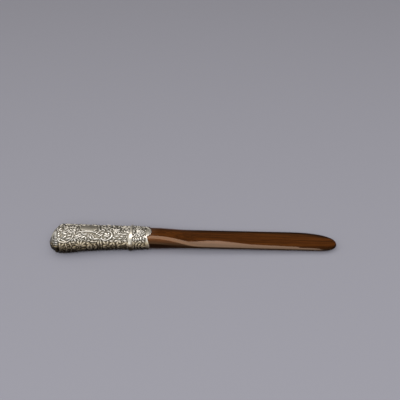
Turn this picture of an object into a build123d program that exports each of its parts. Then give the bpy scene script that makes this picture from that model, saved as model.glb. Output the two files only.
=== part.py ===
from build123d import *
import math
import os

# A letter opener with a filled silver handle and a polished wooden blade.
# It is laid out along X, from the butt of the handle at x = 0 to the tip of the blade,
# with the width of the blade along Y and its thickness along Z. All sizes are in millimetres.
# The near side is -Y: the handle swells to that side at the butt, like a pistol grip.

# Sections: every piece is an oval square to X, made of four mirrored curves
silver_fullness = 0.70           # a squarer oval with flat broad faces
wood_fullness = 0.5523           # an ellipse

# Handle: sizes of the outer silver surface
handle_length = 96.8             # butt end to the joint at the neck
neck_half_width = 20.9
neck_half_thickness = 9.9
butt_near_half_width = 28.0
butt_far_half_width = 18.9
butt_half_thickness = 13.1
swell_full_at = 22.0             # distance from the butt end where the swelling is complete
swell_power = 1.75               # how late the swelling starts: 1 is a straight cone
butt_apex_offset = 13.3          # the end of the butt lies this far to the near side of the axis
dome_far_length = 12.9           # rounding of the butt on the far side
dome_near_length = 13.4
dome_face_length = 12.9          # rounding of the butt on the broad faces
dome_power = 1.8                 # 2 is a quarter ellipse, and less is a slacker curve
shell_wall = 0.6
core_gap = 0.1                   # the filling shrinks from the silver by this much as it cools

# Neck ring: a half-round band over the joint
ring_width = 4.6
ring_rise = 1.1
ring_edge_height = 0.35

# Collar: a sleeve with four lobes, two on the broad faces and two on the narrow sides
collar_length = 24.5             # from the joint to the tips of the broad lobes
collar_end_half_width = 19.0
collar_end_half_thickness = 9.1
collar_wall = 0.6
face_lobe_depth = 5.0            # from the notches to the tips of the broad lobes
side_lobe_depth = 3.5
notch_share = 0.686              # place of the notches along a quarter of the oval, from its narrow side
trim_margin = 1.0                # spare length that the lobed edge is cut from

# Blade
blade_length = 224.6             # from the tips of the broad lobes to the tip of the blade
blade_half_width = 20.7
blade_half_thickness = 2.9       # where the shoulder has faded out
tip_half_thickness = 1.5
tip_apex_offset = 2.2            # the tip lies this far to the near side of the axis
tip_far_rounding = 54.5
tip_near_rounding = 22.5
tip_face_rounding = 5.0
tip_power = 2.25                 # 2 is a quarter ellipse, and more is a squarer curve
shoulder_fade_length = 62.0
shoulder_bulge = 0.15            # the wood swells this much where it leaves the collar
cement_gap = 0.1                 # between the wood and the inside of the collar

# Tang: the peg of the blade that the filling holds
tang_length = 62.0
tang_root_half_width = 12.0
tang_root_half_thickness = 7.0
tang_end_half_width = 9.0
tang_end_half_thickness = 5.0

# Number of sections that each form is drawn through
dome_sections = 8
swell_sections = 10
swell_spacing = 1.5              # above 1 the sections of the swelling stand closer towards the butt
ring_sections = 9
shoulder_sections = 8
flat_sections = 6
tip_sections = 10

# Places along X that follow from the sizes
collar_tip = handle_length + collar_length
notch_place = collar_tip - face_lobe_depth
side_lobe_tip = notch_place + side_lobe_depth
blade_tip = collar_tip + blade_length


def rounded(share, power=2.0):
    """Height of a quarter ellipse, or one of another power, from 0 at its start to 1 at its end."""
    inside = min(max(share, 0.0), 1.0)
    return (1.0 - (1.0 - inside) ** power) ** (1.0 / power)


def mix(start, end, share):
    """Value at a share of the way from start to end."""
    return start + (end - start) * share


def oval(x, centre_y, half_width, half_thickness, fullness):
    """Section square to X: four mirrored curves, squarer the more the fullness is over that of an ellipse."""
    ends = [
        Vector(half_width, 0),
        Vector(0, half_thickness),
        Vector(-half_width, 0),
        Vector(0, -half_thickness),
    ]
    plane = Plane(origin=(x, centre_y, 0), x_dir=(0, 1, 0), z_dir=(1, 0, 0))
    with BuildSketch(plane) as section:
        with BuildLine():
            for start, end in zip(ends, ends[1:] + ends[:1]):
                Bezier(start, start + end * fullness, end + start * fullness, end)
        make_face()
    return section.sketch


def quarter(share, fullness):
    """Part of the half-width that a section has at a share of its quarter curve from the narrow side."""
    left = 1.0 - share
    return left**3 + 3.0 * left**2 * share + 3.0 * left * share**2 * fullness


def handle_section(x, inset):
    """Section of the handle at x, drawn inside the outer surface by the inset."""
    neck_distance = max(handle_length - x, 0.0)
    swell = min(neck_distance / (handle_length - swell_full_at), 1.0) ** swell_power
    near_half = mix(neck_half_width, butt_near_half_width, swell) - inset
    far_half = mix(neck_half_width, butt_far_half_width, swell) - inset
    thick_half = mix(neck_half_thickness, butt_half_thickness, swell) - inset
    depth = x - inset
    near_half = mix(butt_apex_offset, near_half, rounded(depth / (dome_near_length - inset), dome_power))
    far_half = mix(-butt_apex_offset, far_half, rounded(depth / (dome_far_length - inset), dome_power))
    thick_half = thick_half * rounded(depth / (dome_face_length - inset), dome_power)
    return oval(x, (far_half - near_half) / 2, (far_half + near_half) / 2, thick_half, silver_fullness)


def handle_form(inset):
    """Closed form of the handle from the butt to the neck, inside the outer surface by the inset."""
    dome_length = max(dome_far_length, dome_near_length, dome_face_length) - inset
    dome_step = math.pi / 2 / dome_sections
    stations = []
    for number in range(1, dome_sections + 1):
        stations.append(inset + dome_length * (1 - math.cos(number * dome_step)))
    swell_start = stations[-1]
    for number in range(1, swell_sections + 1):
        stations.append(mix(swell_start, handle_length, (number / swell_sections) ** swell_spacing))
    apex = Vertex(inset, -butt_apex_offset, 0)
    return loft([apex] + [handle_section(x, inset) for x in stations])


def collar_form(inset):
    """Closed form of the collar before its edge is lobed, inside its outer surface by the inset."""
    taper = trim_margin / collar_length
    end_half_width = mix(neck_half_width, collar_end_half_width, 1 + taper) - inset
    end_half_thickness = mix(neck_half_thickness, collar_end_half_thickness, 1 + taper) - inset
    start = oval(handle_length, 0, neck_half_width - inset, neck_half_thickness - inset, silver_fullness)
    end = oval(collar_tip + trim_margin, 0, end_half_width, end_half_thickness, silver_fullness)
    return loft([start, end])


def lobe_cutter(plane, tip, half_span):
    """Block beyond a pair of lobes: an arc from notch to notch, cut square to the plane."""
    beyond = collar_tip + 2 * trim_margin
    with BuildSketch(plane) as outline:
        with BuildLine():
            ThreePointArc((notch_place, -half_span), (tip, 0), (notch_place, half_span))
            Polyline(
                (notch_place, half_span),
                (beyond, half_span),
                (beyond, -half_span),
                (notch_place, -half_span),
            )
        make_face()
    return extrude(outline.sketch, amount=2 * neck_half_width, both=True)


def make_collar():
    """Sleeve round the shoulder of the blade, with lobes on the faces and on the narrow sides."""
    sleeve = collar_form(0) - collar_form(collar_wall)
    share = (notch_place - handle_length) / collar_length
    notch_half_width = mix(neck_half_width, collar_end_half_width, share)
    notch_half_thickness = mix(neck_half_thickness, collar_end_half_thickness, share)
    face_half_span = notch_half_width * quarter(notch_share, silver_fullness)
    side_half_span = notch_half_thickness * quarter(1.0 - notch_share, silver_fullness)
    sleeve -= lobe_cutter(Plane.XY, collar_tip, face_half_span)
    sleeve -= lobe_cutter(Plane.XZ, side_lobe_tip, side_half_span)
    return sleeve


def make_ring():
    """Half-round band that lies on the end of the handle and the start of the collar."""
    sections = []
    for number in range(ring_sections):
        across = mix(-1.0, 1.0, number / (ring_sections - 1))
        height = mix(ring_edge_height, ring_rise, math.sqrt(1.0 - across**2))
        x = handle_length + across * ring_width / 2
        half_width = neck_half_width + height
        half_thickness = neck_half_thickness + height
        sections.append(oval(x, 0, half_width, half_thickness, silver_fullness))
    return loft(sections) - handle_form(0) - collar_form(0)


def blade_section(x):
    """Section of the blade at x: an oval shoulder that fades into a thin blade with a round tip."""
    shoulder_half_width = collar_end_half_width - collar_wall - cement_gap
    shoulder_half_thickness = collar_end_half_thickness - collar_wall - cement_gap
    fade = min((x - collar_tip) / shoulder_fade_length, 1.0)
    blend = 0.5 - 0.5 * math.cos(math.pi * fade)
    half_width = mix(shoulder_half_width, blade_half_width, blend)
    flat_share = (x - collar_tip) / blade_length
    flat_half_thickness = mix(blade_half_thickness, tip_half_thickness, flat_share)
    half_thickness = mix(shoulder_half_thickness, flat_half_thickness, blend)
    half_thickness += shoulder_bulge * math.sin(math.pi * fade)
    left = blade_tip - x
    far_half = mix(-tip_apex_offset, half_width, rounded(left / tip_far_rounding, tip_power))
    near_half = mix(tip_apex_offset, half_width, rounded(left / tip_near_rounding, tip_power))
    half_thickness *= rounded(left / tip_face_rounding)
    fullness = mix(silver_fullness, wood_fullness, blend)
    return oval(x, (far_half - near_half) / 2, (far_half + near_half) / 2, half_thickness, fullness)


def make_tang():
    """Tapered peg that runs back from the shoulder into the handle."""
    end = oval(handle_length - tang_length, 0, tang_end_half_width, tang_end_half_thickness, wood_fullness)
    root = oval(handle_length, 0, tang_root_half_width, tang_root_half_thickness, wood_fullness)
    return loft([end, root])


def make_blade():
    """Blade in one piece: tang, shoulder inside the collar, and the blade out to its tip."""
    hidden = collar_form(collar_wall + cement_gap)
    spare = Pos(collar_tip + 2 * trim_margin, 0, 0) * Box(
        4 * trim_margin, 4 * neck_half_width, 4 * neck_half_width
    )
    hidden -= spare
    fade_end = collar_tip + shoulder_fade_length
    round_start = blade_tip - max(tip_far_rounding, tip_near_rounding)
    stations = []
    for number in range(shoulder_sections):
        stations.append(mix(collar_tip, fade_end, number / shoulder_sections))
    for number in range(flat_sections):
        stations.append(mix(fade_end, round_start, number / flat_sections))
    tip_step = math.pi / 2 / tip_sections
    for number in range(tip_sections):
        stations.append(mix(round_start, blade_tip, math.sin(number * tip_step)))
    tip = Vertex(blade_tip, -tip_apex_offset, 0)
    shown = loft([blade_section(x) for x in stations] + [tip])
    return shown + hidden + make_tang()


def make_parts():
    """Every piece by its name, along the axis of the blade."""
    shell = handle_form(0) - handle_form(shell_wall)
    return {
        "handle_upper_shell": split(shell, bisect_by=Plane.XY, keep=Keep.TOP),
        "handle_lower_shell": split(shell, bisect_by=Plane.XY, keep=Keep.BOTTOM),
        "pitch_core": handle_form(shell_wall + core_gap) - make_tang(),
        "neck_ring": make_ring(),
        "collar": make_collar(),
        "blade": make_blade(),
    }


def laid_down(parts):
    """Parts as they lie on a table, on the butt and the ring, with the origin under their middle."""
    ring_half_thickness = neck_half_thickness + ring_rise
    drop = butt_half_thickness - ring_half_thickness
    tilt = math.degrees(math.atan2(drop, handle_length - swell_full_at))
    tilted = {name: Rot(0, tilt, 0) * shape for name, shape in parts.items()}
    boxes = [shape.bounding_box() for shape in tilted.values()]
    middle_x = (min(box.min.X for box in boxes) + max(box.max.X for box in boxes)) / 2
    middle_y = (min(box.min.Y for box in boxes) + max(box.max.Y for box in boxes)) / 2
    lowest = min(box.min.Z for box in boxes)
    place = Pos(-middle_x, -middle_y, -lowest)
    return {name: place * shape for name, shape in tilted.items()}


os.makedirs("parts", exist_ok=True)
for node_name, node_shape in laid_down(make_parts()).items():
    export_step(node_shape, f"parts/{node_name}.step")
    print(node_name, round(node_shape.volume, 1), "cubic millimetres")
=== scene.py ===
# %% [markdown]
# # A letter opener with an embossed silver handle
# The opener is a silver handle on a broad blade of dark polished wood. The handle is two stamped halves
# round a filling of pitch, a plain ring covers the joint at the neck, and a lobed collar grips the wood.
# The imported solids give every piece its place. They stay smooth, and this lesson dresses them: foliage on
# the silver, grain and polish on the wood, and soft light round both.

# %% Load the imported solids
import math

import bmesh
import bpy
import numpy as np
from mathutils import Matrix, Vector


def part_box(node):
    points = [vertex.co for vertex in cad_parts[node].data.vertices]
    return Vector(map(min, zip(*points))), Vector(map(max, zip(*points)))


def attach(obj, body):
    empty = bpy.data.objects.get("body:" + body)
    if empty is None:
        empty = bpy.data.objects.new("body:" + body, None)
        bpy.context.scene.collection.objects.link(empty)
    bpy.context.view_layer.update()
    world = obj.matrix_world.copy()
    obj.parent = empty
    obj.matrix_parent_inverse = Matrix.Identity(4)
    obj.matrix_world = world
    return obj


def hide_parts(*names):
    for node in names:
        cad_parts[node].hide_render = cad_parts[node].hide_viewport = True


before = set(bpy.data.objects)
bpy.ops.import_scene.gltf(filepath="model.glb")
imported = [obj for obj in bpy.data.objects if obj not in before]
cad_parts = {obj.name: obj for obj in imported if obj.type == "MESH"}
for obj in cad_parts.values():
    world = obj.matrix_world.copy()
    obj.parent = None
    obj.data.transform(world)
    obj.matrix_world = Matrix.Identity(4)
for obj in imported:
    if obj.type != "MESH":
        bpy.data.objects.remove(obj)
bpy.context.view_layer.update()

scene = bpy.context.scene
scene.view_settings.view_transform = "Standard"
print("nodes:", sorted(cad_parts))

# %% [markdown]
# ## Sizes and the smooth forms
# The sizes are those of the solids, in millimetres, along the axis of the blade: x runs from the butt of
# the handle to the tip, y across the blade and z through its thickness. All the forms are ovals threaded
# along x, so one section function for each piece is enough. A lofted mesh could be traced over the solids
# instead, but a formula gives as many points as the ornament needs.

# %% Sizes
handle_length = 96.8
neck_half_width, neck_half_thickness = 20.9, 9.9
butt_near_half_width, butt_far_half_width = 28.0, 18.9
butt_half_thickness = 13.1
swell_full_at, swell_power = 22.0, 1.75
butt_apex_offset = 13.3
dome_far_length, dome_near_length, dome_face_length = 12.9, 13.4, 12.9
dome_power = 1.8
ring_width, ring_rise, ring_edge_height = 4.6, 1.1, 0.35
collar_tip = 121.3
collar_end_half_width, collar_end_half_thickness = 19.0, 9.1
notch_place, side_lobe_tip = 116.3, 119.8
notch_angle = math.radians(54.0)
blade_tip = 345.9
blade_half_width = 20.7
blade_half_thickness, tip_half_thickness = 2.9, 1.5
tip_apex_offset, tip_power = 2.2, 2.25
tip_far_rounding, tip_near_rounding, tip_face_rounding = 54.5, 22.5, 5.0
wood_inset = 0.7
shoulder_fade_length, shoulder_bulge = 62.0, 0.15
tang_length = 62.0
tang_root, tang_end = (12.0, 7.0), (9.0, 5.0)
silver_fullness, wood_fullness = 0.7, 0.5523
side_haste = 0.36
print("opener of", blade_tip, "mm")


# %% Smooth forms
def mix(start, end, share):
    """Value at a share of the way from start to end."""
    return start + (end - start) * share


def rounded(share, power=2.0):
    """Height of a quarter ellipse, or of one of another power, from 0 at its start to 1 where the share
    is 1."""
    return (1.0 - (1.0 - np.clip(share, 0.0, 1.0)) ** power) ** (1.0 / power)


def handle_section(x, inset=0.0):
    """Centre, half-width and half-thickness of the oval handle at x. They swell from the neck to the butt
    with a power of the distance from the neck, and a quarter ellipse closes each of them at the butt."""
    swell = np.clip((handle_length - x) / (handle_length - swell_full_at), 0.0, 1.0) ** swell_power
    near = mix(neck_half_width, butt_near_half_width, swell) - inset
    far = mix(neck_half_width, butt_far_half_width, swell) - inset
    thick = mix(neck_half_thickness, butt_half_thickness, swell) - inset
    near = mix(butt_apex_offset, near, rounded((x - inset) / (dome_near_length - inset), dome_power))
    far = mix(-butt_apex_offset, far, rounded((x - inset) / (dome_far_length - inset), dome_power))
    thick = thick * rounded((x - inset) / (dome_face_length - inset), dome_power)
    return (far - near) / 2, (far + near) / 2, thick


def quarter(share, fullness):
    """Cubic curve from 1 to 0 that draws a quarter of an oval: an ellipse at a fullness of 0.5523,
    squarer above."""
    left = 1.0 - share
    return left**3 + 3.0 * left**2 * share + 3.0 * left * share**2 * fullness


def oval(x, centre, half_width, half_thickness, angle, fullness=silver_fullness):
    """Points of ovals square to x: the angle starts at the far side and goes over the top to the near
    side. Each quarter turn is one cubic curve, walked a little faster near the narrow side to space the
    points evenly."""
    share = np.arccos(np.abs(np.cos(angle))) / (math.pi / 2.0)
    share = share + side_haste * share * (1.0 - share)
    y = centre + half_width * np.sign(np.cos(angle)) * quarter(share, fullness)
    z = half_thickness * np.sign(np.sin(angle)) * quarter(1.0 - share, fullness)
    return np.stack(np.broadcast_arrays(x, y, z), axis=-1)


neck_area = math.pi * neck_half_width * neck_half_thickness
print("oval at the neck:", round(neck_area), "square millimetres")

# %% [markdown]
# ## Where the opener lies
# It rests on its butt and on the ring, so its axis dips a little towards the tip. A piece is drawn along
# the axis first, and one function then tips it, moves it and turns millimetres to metres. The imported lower
# half of the handle tells how far to move, so that nothing has to be fitted by eye.

# %% Lay the pieces down
tilt = math.atan2(butt_half_thickness - neck_half_thickness - ring_rise, handle_length - swell_full_at)


def tipped(points):
    """Points turned about y by the tilt, which brings the butt and the ring level."""
    x, y, z = np.moveaxis(points, -1, 0)
    along, up = x * math.cos(tilt) + z * math.sin(tilt), z * math.cos(tilt) - x * math.sin(tilt)
    return np.stack([along, y, up], axis=-1)


smooth_x = handle_length * np.linspace(0.0, 1.0, 1201)[:, None] ** 2
smooth_handle = tipped(oval(smooth_x, *handle_section(smooth_x), np.linspace(-math.pi, 0.0, 361)))
packed_corner = 1000.0 * np.array(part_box("handle_lower_shell")[0])
shift = packed_corner - smooth_handle.reshape(-1, 3).min(axis=0)


def laid_down(points):
    """Points of the axis frame, in millimetres, as places on the table, in metres."""
    return (tipped(points) + shift) * 0.001


print("moved by", np.round(shift, 2), "mm, tilted by", round(math.degrees(tilt), 2), "degrees")

# %% [markdown]
# ## Camera
# The photograph looks down on the opener by about 28 degrees from a little under a metre. The camera comes
# first, because every later choice of ornament and light is made for its view.

# %% Camera
camera_data = bpy.data.cameras.new("camera")
camera_data.lens = 59.42
camera_data.sensor_width = 36.0
camera = bpy.data.objects.new("camera", camera_data)
camera.location = (0.00858, -0.68165, 0.4345)
camera.rotation_euler = (math.radians(61.51), math.radians(0.13), math.radians(0.03))
scene.collection.objects.link(camera)
scene.camera = camera
print("camera at", tuple(round(v, 3) for v in camera.location))

# %% [markdown]
# ## Helpers for finishes
# Colours are written as sRGB hex values, as a designer picks them, and Blender's shaders want linear light.
# One function does that change, and one adds a node with its settings and its inputs. Every finish below
# uses them.


# %% Colour and node helpers
def linear(hex_colour):
    """Linear RGBA of an sRGB hex colour, by the sRGB curve."""
    parts = np.array([int(hex_colour[i:i + 2], 16) for i in (1, 3, 5)]) / 255.0
    light = np.where(parts <= 0.04045, parts / 12.92, ((parts + 0.055) / 1.055) ** 2.4)
    return (*light.tolist(), 1.0)


def add_node(tree, kind, inputs=None, **settings):
    """New shader node of a kind, with its settings and its inputs, each a constant or an output of
    another node."""
    node = tree.nodes.new("ShaderNode" + kind)
    for name, value in settings.items():
        setattr(node, name, value)
    for name, value in (inputs or {}).items():
        if isinstance(value, bpy.types.NodeSocket):
            tree.links.new(value, node.inputs[name])
        else:
            node.inputs[name].default_value = value
    return node


def new_finish(name):
    """Empty node material and its tree."""
    finish = bpy.data.materials.new(name)
    finish.use_nodes = True
    finish.node_tree.nodes.clear()
    return finish, finish.node_tree


def set_stops(ramp, stops):
    """Gives a colour ramp its stops, as pairs of place and sRGB hex colour."""
    elements = ramp.color_ramp.elements
    while len(elements) < len(stops):
        elements.new(0.5)
    for element, (place, colour) in zip(elements, stops):
        element.position = place
        element.color = linear(colour)


print("white is", linear("#FFFFFF"))

# %% [markdown]
# ## Helpers for meshes
# A piece is a grid of points that closes round the oval. Numpy makes the grid and its faces as whole
# arrays, and the mesh takes them in one go. Normals are recalculated at the end, so that mirrored halves
# also face outwards.


# %% Mesh helpers
def grid_faces(rows, columns, round_rows=False, round_columns=True, start=0):
    """Four-sided faces of a grid whose points are numbered row by row from start. Either way may close."""
    row = np.arange(rows if round_rows else rows - 1)[:, None]
    column = np.arange(columns if round_columns else columns - 1)[None, :]
    next_row, next_column = (row + 1) % rows, (column + 1) % columns
    corners = np.broadcast_arrays(
        row * columns + column, row * columns + next_column,
        next_row * columns + next_column, next_row * columns + column,
    )
    return start + np.stack(corners, axis=-1).reshape(-1, 4)


def fan_faces(pole, edge):
    """Triangles from a pole to each step of an edge."""
    return np.stack([np.full(len(edge) - 1, pole), edge[:-1], edge[1:]], axis=-1)


def capped(grid, first_pole, last_pole):
    """Points and faces of a grid that closes round the oval, with a fan from a pole over each of its two
    ends."""
    rows, columns = grid.shape[:2]
    poles = rows * columns
    points = np.concatenate([grid.reshape(-1, 3), [first_pole, last_pole]])
    first_ring = np.append(np.arange(columns), 0)
    last_ring = (rows - 1) * columns + first_ring
    return points, [
        grid_faces(rows, columns), fan_faces(poles, first_ring), fan_faces(poles + 1, last_ring),
    ]


print("a closed grid of 3 by 4 points has", len(grid_faces(3, 4)), "faces")


# %% New pieces
def make_piece(name, points, faces, finish, node):
    """Object of points in the axis frame and a list of face arrays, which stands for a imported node."""
    mesh = bpy.data.meshes.new(name)
    corners = np.concatenate([f.ravel() for f in faces]).astype(np.int32)
    counts = np.concatenate([np.full(len(f), f.shape[1]) for f in faces]).astype(np.int32)
    mesh.vertices.add(len(points))
    mesh.vertices.foreach_set("co", laid_down(points).astype(np.float32).ravel())
    mesh.loops.add(len(corners))
    mesh.loops.foreach_set("vertex_index", corners)
    mesh.polygons.add(len(counts))
    mesh.polygons.foreach_set("loop_start", np.concatenate([[0], np.cumsum(counts)[:-1]]).astype(np.int32))
    mesh.polygons.foreach_set("loop_total", counts)
    mesh.update(calc_edges=True)
    shaper = bmesh.new()
    shaper.from_mesh(mesh)
    bmesh.ops.recalc_face_normals(shaper, faces=shaper.faces)
    shaper.to_mesh(mesh)
    shaper.free()
    mesh.polygons.foreach_set("use_smooth", np.ones(len(mesh.polygons), dtype=bool))
    mesh.materials.append(finish)
    piece = bpy.data.objects.new(name, mesh)
    scene.collection.objects.link(piece)
    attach(piece, "root")
    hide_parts(node)
    triangles = int((counts - 2).sum())
    print(name, len(points), "points,", triangles, "triangles")
    return piece


print("new pieces can stand for", len(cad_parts), "packed nodes")

# %% [markdown]
# ## Embossed silver
# Sterling silver sheet is stamped in a die, chased by hand and then darkened in the hollows, and years of
# rubbing polish the high points again. So the finish follows the height of the relief, which each embossed
# piece carries as an attribute: nearly black deep down, grey half way, pale and shiny on top. The same
# attribute also carries painted shade, which makes the top, the far side and the butt end duller. A second
# attribute paints shade on the sides and the underside: first a pale gold tint, a painted reflection of warm
# low walls, then brown towards the underside, a painted shade of the shadow it mirrors.

# %% Painted shade of the sides and underside
underside_shade_stops = [(0.0, "#FFFFFF"), (0.3, "#F3E8D2"), (0.65, "#E6D6B6"), (1.0, "#40382A")]


def underside_shaded(tree, colour):
    """Colour of silver under the share of painted shade that a point carries: a pale gold painted reflection
    first, then brown painted shade.
    """
    share = add_node(tree, "Attribute", attribute_name="underside_shade")
    shade_ramp = add_node(tree, "ValToRGB", {"Fac": share.outputs["Fac"]})
    set_stops(shade_ramp, underside_shade_stops)
    shaded_colour = add_node(
        tree, "Mix", {0: 1.0, 6: colour, 7: shade_ramp.outputs["Color"]}, data_type="RGBA", blend_type="MULTIPLY",
    )
    return shaded_colour.outputs[2]


print("tarnish of", len(underside_shade_stops), "shades")

# %% Embossed silver finish
# It gives the eye bright sparks on the crests, soft grey flanks and brown-black hollows.
cloud_size, punch_size = 9.0, 0.6
embossed_silver, tree = new_finish("embossed_sterling_silver")
# The polish attribute holds the patina of the hollows and painted shade on the top, the far side and the butt
# end.
relief = add_node(tree, "Attribute", attribute_name="polish")
place = add_node(tree, "TexCoord").outputs["Object"]
cloud = add_node(tree, "TexNoise", {"Scale": 1000 / cloud_size, "Detail": 3.0, "Vector": place})
worn = add_node(tree, "Math", {0: cloud.outputs["Fac"], 1: 0.24, 2: -0.12}, operation="MULTIPLY_ADD")
shine = add_node(
    tree, "Math", {0: relief.outputs["Fac"], 1: worn.outputs["Value"]}, operation="ADD", use_clamp=True,
)
tone = add_node(tree, "ValToRGB", {"Fac": shine.outputs["Value"]})
set_stops(tone, [(0.0, "#201E1A"), (0.2, "#6C685E"), (0.4, "#B2AFA6"), (0.6, "#DBD9D3"), (0.88, "#FAF9F6")])
gloss = add_node(tree, "MapRange", {
    "Value": shine.outputs["Value"], "From Min": 0.1, "From Max": 0.9, "To Min": 0.45, "To Max": 0.2,
})
punch = add_node(tree, "TexNoise", {"Scale": 1000 / punch_size, "Detail": 2.0, "Vector": place})
dent = add_node(tree, "Bump", {"Strength": 0.12, "Distance": 0.0001, "Height": punch.outputs["Fac"]})
metal = add_node(tree, "BsdfPrincipled", {
    "Metallic": 1.0, "Base Color": underside_shaded(tree, tone.outputs["Color"]),
    "Roughness": gloss.outputs["Result"], "Normal": dent.outputs["Normal"],
})
add_node(tree, "OutputMaterial", {"Surface": metal.outputs["BSDF"]})
print(embossed_silver.name, "has", len(tree.nodes), "nodes")

# %% [markdown]
# ## Plain silver
# The ring is drawn wire, burnished smooth. Only faint rubbing marks break its reflection, so the roughness
# wanders a little, and the colour stays even down to the painted shade of the underside.

# %% Plain silver finish
# It gives the eye one clean bright line along the ring.
rub_size = 2.5
plain_silver, tree = new_finish("burnished_sterling_silver")
place = add_node(tree, "TexCoord").outputs["Object"]
rub = add_node(tree, "TexNoise", {"Scale": 1000 / rub_size, "Detail": 4.0, "Vector": place})
gloss = add_node(tree, "MapRange", {"Value": rub.outputs["Fac"], "To Min": 0.2, "To Max": 0.36})
tone = add_node(tree, "ValToRGB", {"Fac": rub.outputs["Fac"]})
set_stops(tone, [(0.25, "#E8E4DA"), (0.7, "#F6F3EA")])
metal = add_node(tree, "BsdfPrincipled", {
    "Metallic": 1.0, "Base Color": underside_shaded(tree, tone.outputs["Color"]),
    "Roughness": gloss.outputs["Result"],
})
add_node(tree, "OutputMaterial", {"Surface": metal.outputs["BSDF"]})
print(plain_silver.name, "has", len(tree.nodes), "nodes")

# %% [markdown]
# ## Drawing ornament
# Chased foliage is made of blows: a round-nosed punch walks along a line and raises a ridge. The drawing
# here works the same way. A motif is a set of blows, each with its place in the flat, its radius and its
# height, and the relief is the upper envelope of all the blows. Lines come from one formula, a heading that
# bends evenly along the line and curls close to its ends, which gives stems, petals and scrolls alike.


# %% Lines, petals and scrolls
def tendril(length, bend, head_curl=0.0, tail_curl=0.0, count=40):
    """Line through the origin at its middle. Its heading turns by the bend, evenly, and by each curl near
    its own end, with the fifth power of the share of the length. Angles are in degrees."""
    share = np.linspace(0.0, 1.0, count)
    heading = np.radians(bend * (share - 0.5) + head_curl * share**5 - tail_curl * (1.0 - share) ** 5)
    step = length / (count - 1)
    along, across = np.cumsum(np.cos(heading)) * step, np.cumsum(np.sin(heading)) * step
    middle = count // 2
    return along - along[middle], across - across[middle], heading, share


def scroll(length, bend, head_curl, tail_curl, radius, height, eye=1.35):
    """Ridge along a tendril, fullest at its middle, with a bead in the eye of each curl."""
    along, across, _, share = tendril(length, bend, head_curl, tail_curl, max(int(length / 0.35), 12))
    full = 0.6 + 0.4 * np.sin(math.pi * share)
    ridge = np.column_stack([along, across, radius * full, height * (0.85 + 0.15 * full)])
    eyes = ridge[[0, -1]] * [1.0, 1.0, eye, 1.0]
    return np.concatenate([ridge, eyes])


def petal(length, bend, radius, height, root=(0.0, 0.0), heading=None):
    """Lobe of a leaf: a bent ridge that starts thin, swells past its middle and ends round. With a
    heading it leaves its root that way, and without one its middle lies on the root."""
    along, across, _, share = tendril(length, bend, count=max(int(length / 0.35), 7))
    turn = 0.0
    if heading is not None:
        along, across, turn = along - along[0], across - across[0], heading
    full = 0.25 + 0.95 * np.sin(math.pi * (0.08 + 0.8 * share**1.15))
    return np.column_stack([
        root[0] + along * math.cos(turn) - across * math.sin(turn),
        root[1] + along * math.sin(turn) + across * math.cos(turn),
        radius * full, height * (0.6 + 0.4 * full),
    ])


def bead(radius, height):
    """One round blow."""
    return np.array([[0.0, 0.0, radius, height]])


print("a petal of", len(petal(5.0, 30.0, 0.9, 1.0)), "blows")


# %% Leaves and flowers
def acanthus(length, pairs, bend, radius, height):
    """Leaf with pairs of petals along a bent midrib, and one at its tip. They shorten towards the tip and
    hook forwards."""
    along, across, heading, share = tendril(length, bend, count=25)
    parts = [np.column_stack([along, across, radius * mix(0.55, 0.4, share), height * mix(0.7, 0.8, share)])]
    for number in range(pairs):
        step = number / max(pairs - 1, 1)
        spot = int(mix(1, 14, step))
        for side in (-1.0, 1.0):
            spread = heading[spot] + side * math.radians(mix(66.0, 44.0, step))
            parts.append(petal(
                length * mix(0.5, 0.34, step), -side * 50.0, radius * mix(1.0, 0.85, step), height,
                (along[spot], across[spot]), spread,
            ))
    parts.append(petal(length * 0.42, bend * 0.3, radius, height, (along[15], across[15]), heading[15]))
    return np.concatenate(parts)


def spray(count, reach, fan, radius, height):
    """Palmette: petals of a fan that leave one root, the middle one the longest."""
    parts = []
    for share in np.linspace(-1.0, 1.0, count):
        heading = math.radians(0.5 * fan * share)
        root = (0.2 * reach * math.cos(heading) - 0.5 * reach, 0.2 * reach * math.sin(heading))
        parts.append(petal(reach * (1.0 - 0.3 * share**2) * 0.8, 30.0 * share, radius, height, root, heading))
    return np.concatenate(parts)


def rosette(petals, reach, radius, height):
    """Flower: petals at equal angles round a bead."""
    parts = [bead(radius * 1.1, height)]
    for number in range(petals):
        turn = 2.0 * math.pi * number / petals
        start = (0.42 * reach * math.cos(turn), 0.42 * reach * math.sin(turn))
        parts.append(petal(0.58 * reach, 25.0, radius, 0.9 * height, start, turn))
    return np.concatenate(parts)


def leafy_scroll(length, bend, head_curl, tail_curl, count, reach, side, radius, height):
    """Scroll with petals that spring from one of its sides, like the leaf along a C-scroll."""
    along, across, heading, _ = tendril(length, bend, head_curl, tail_curl, 60)
    parts = [scroll(length, bend, head_curl, tail_curl, radius, height)]
    for spot in np.linspace(10, 50, count).astype(int):
        spread = heading[spot] + side * math.radians(60.0)
        root = (
            along[spot] + 1.5 * radius * math.cos(spread), across[spot] + 1.5 * radius * math.sin(spread),
        )
        parts.append(petal(reach, -side * 45.0, 0.8 * radius, 0.9 * height, root, spread))
    return np.concatenate(parts)


print("a leaf of", len(acanthus(8.0, 3, 30.0, 0.9, 1.0)), "blows")


# %% From the flat to a surface
def spread_out(surface, place, angle, turn, motif):
    """Places and angles of the blows of a motif that is laid on a surface and turned there. Small steps
    on the surface give the two scales that keep its size true. Angles are in degrees."""
    angle, turn = math.radians(angle), math.radians(turn)
    place_scale = np.linalg.norm(surface(place + 0.5, angle) - surface(place - 0.5, angle))
    angle_scale = np.linalg.norm(surface(place, angle + 0.02) - surface(place, angle - 0.02)) / 0.04
    along = motif[:, 0] * math.cos(turn) - motif[:, 1] * math.sin(turn)
    across = motif[:, 0] * math.sin(turn) + motif[:, 1] * math.cos(turn)
    return place + along / place_scale, angle + across / angle_scale


def carried(surface, place, angle, turn, motif):
    """Blows of a motif on a surface: their centres, radii and heights."""
    return surface(*spread_out(surface, place, angle, turn, motif)), motif[:, 2], motif[:, 3]


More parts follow.
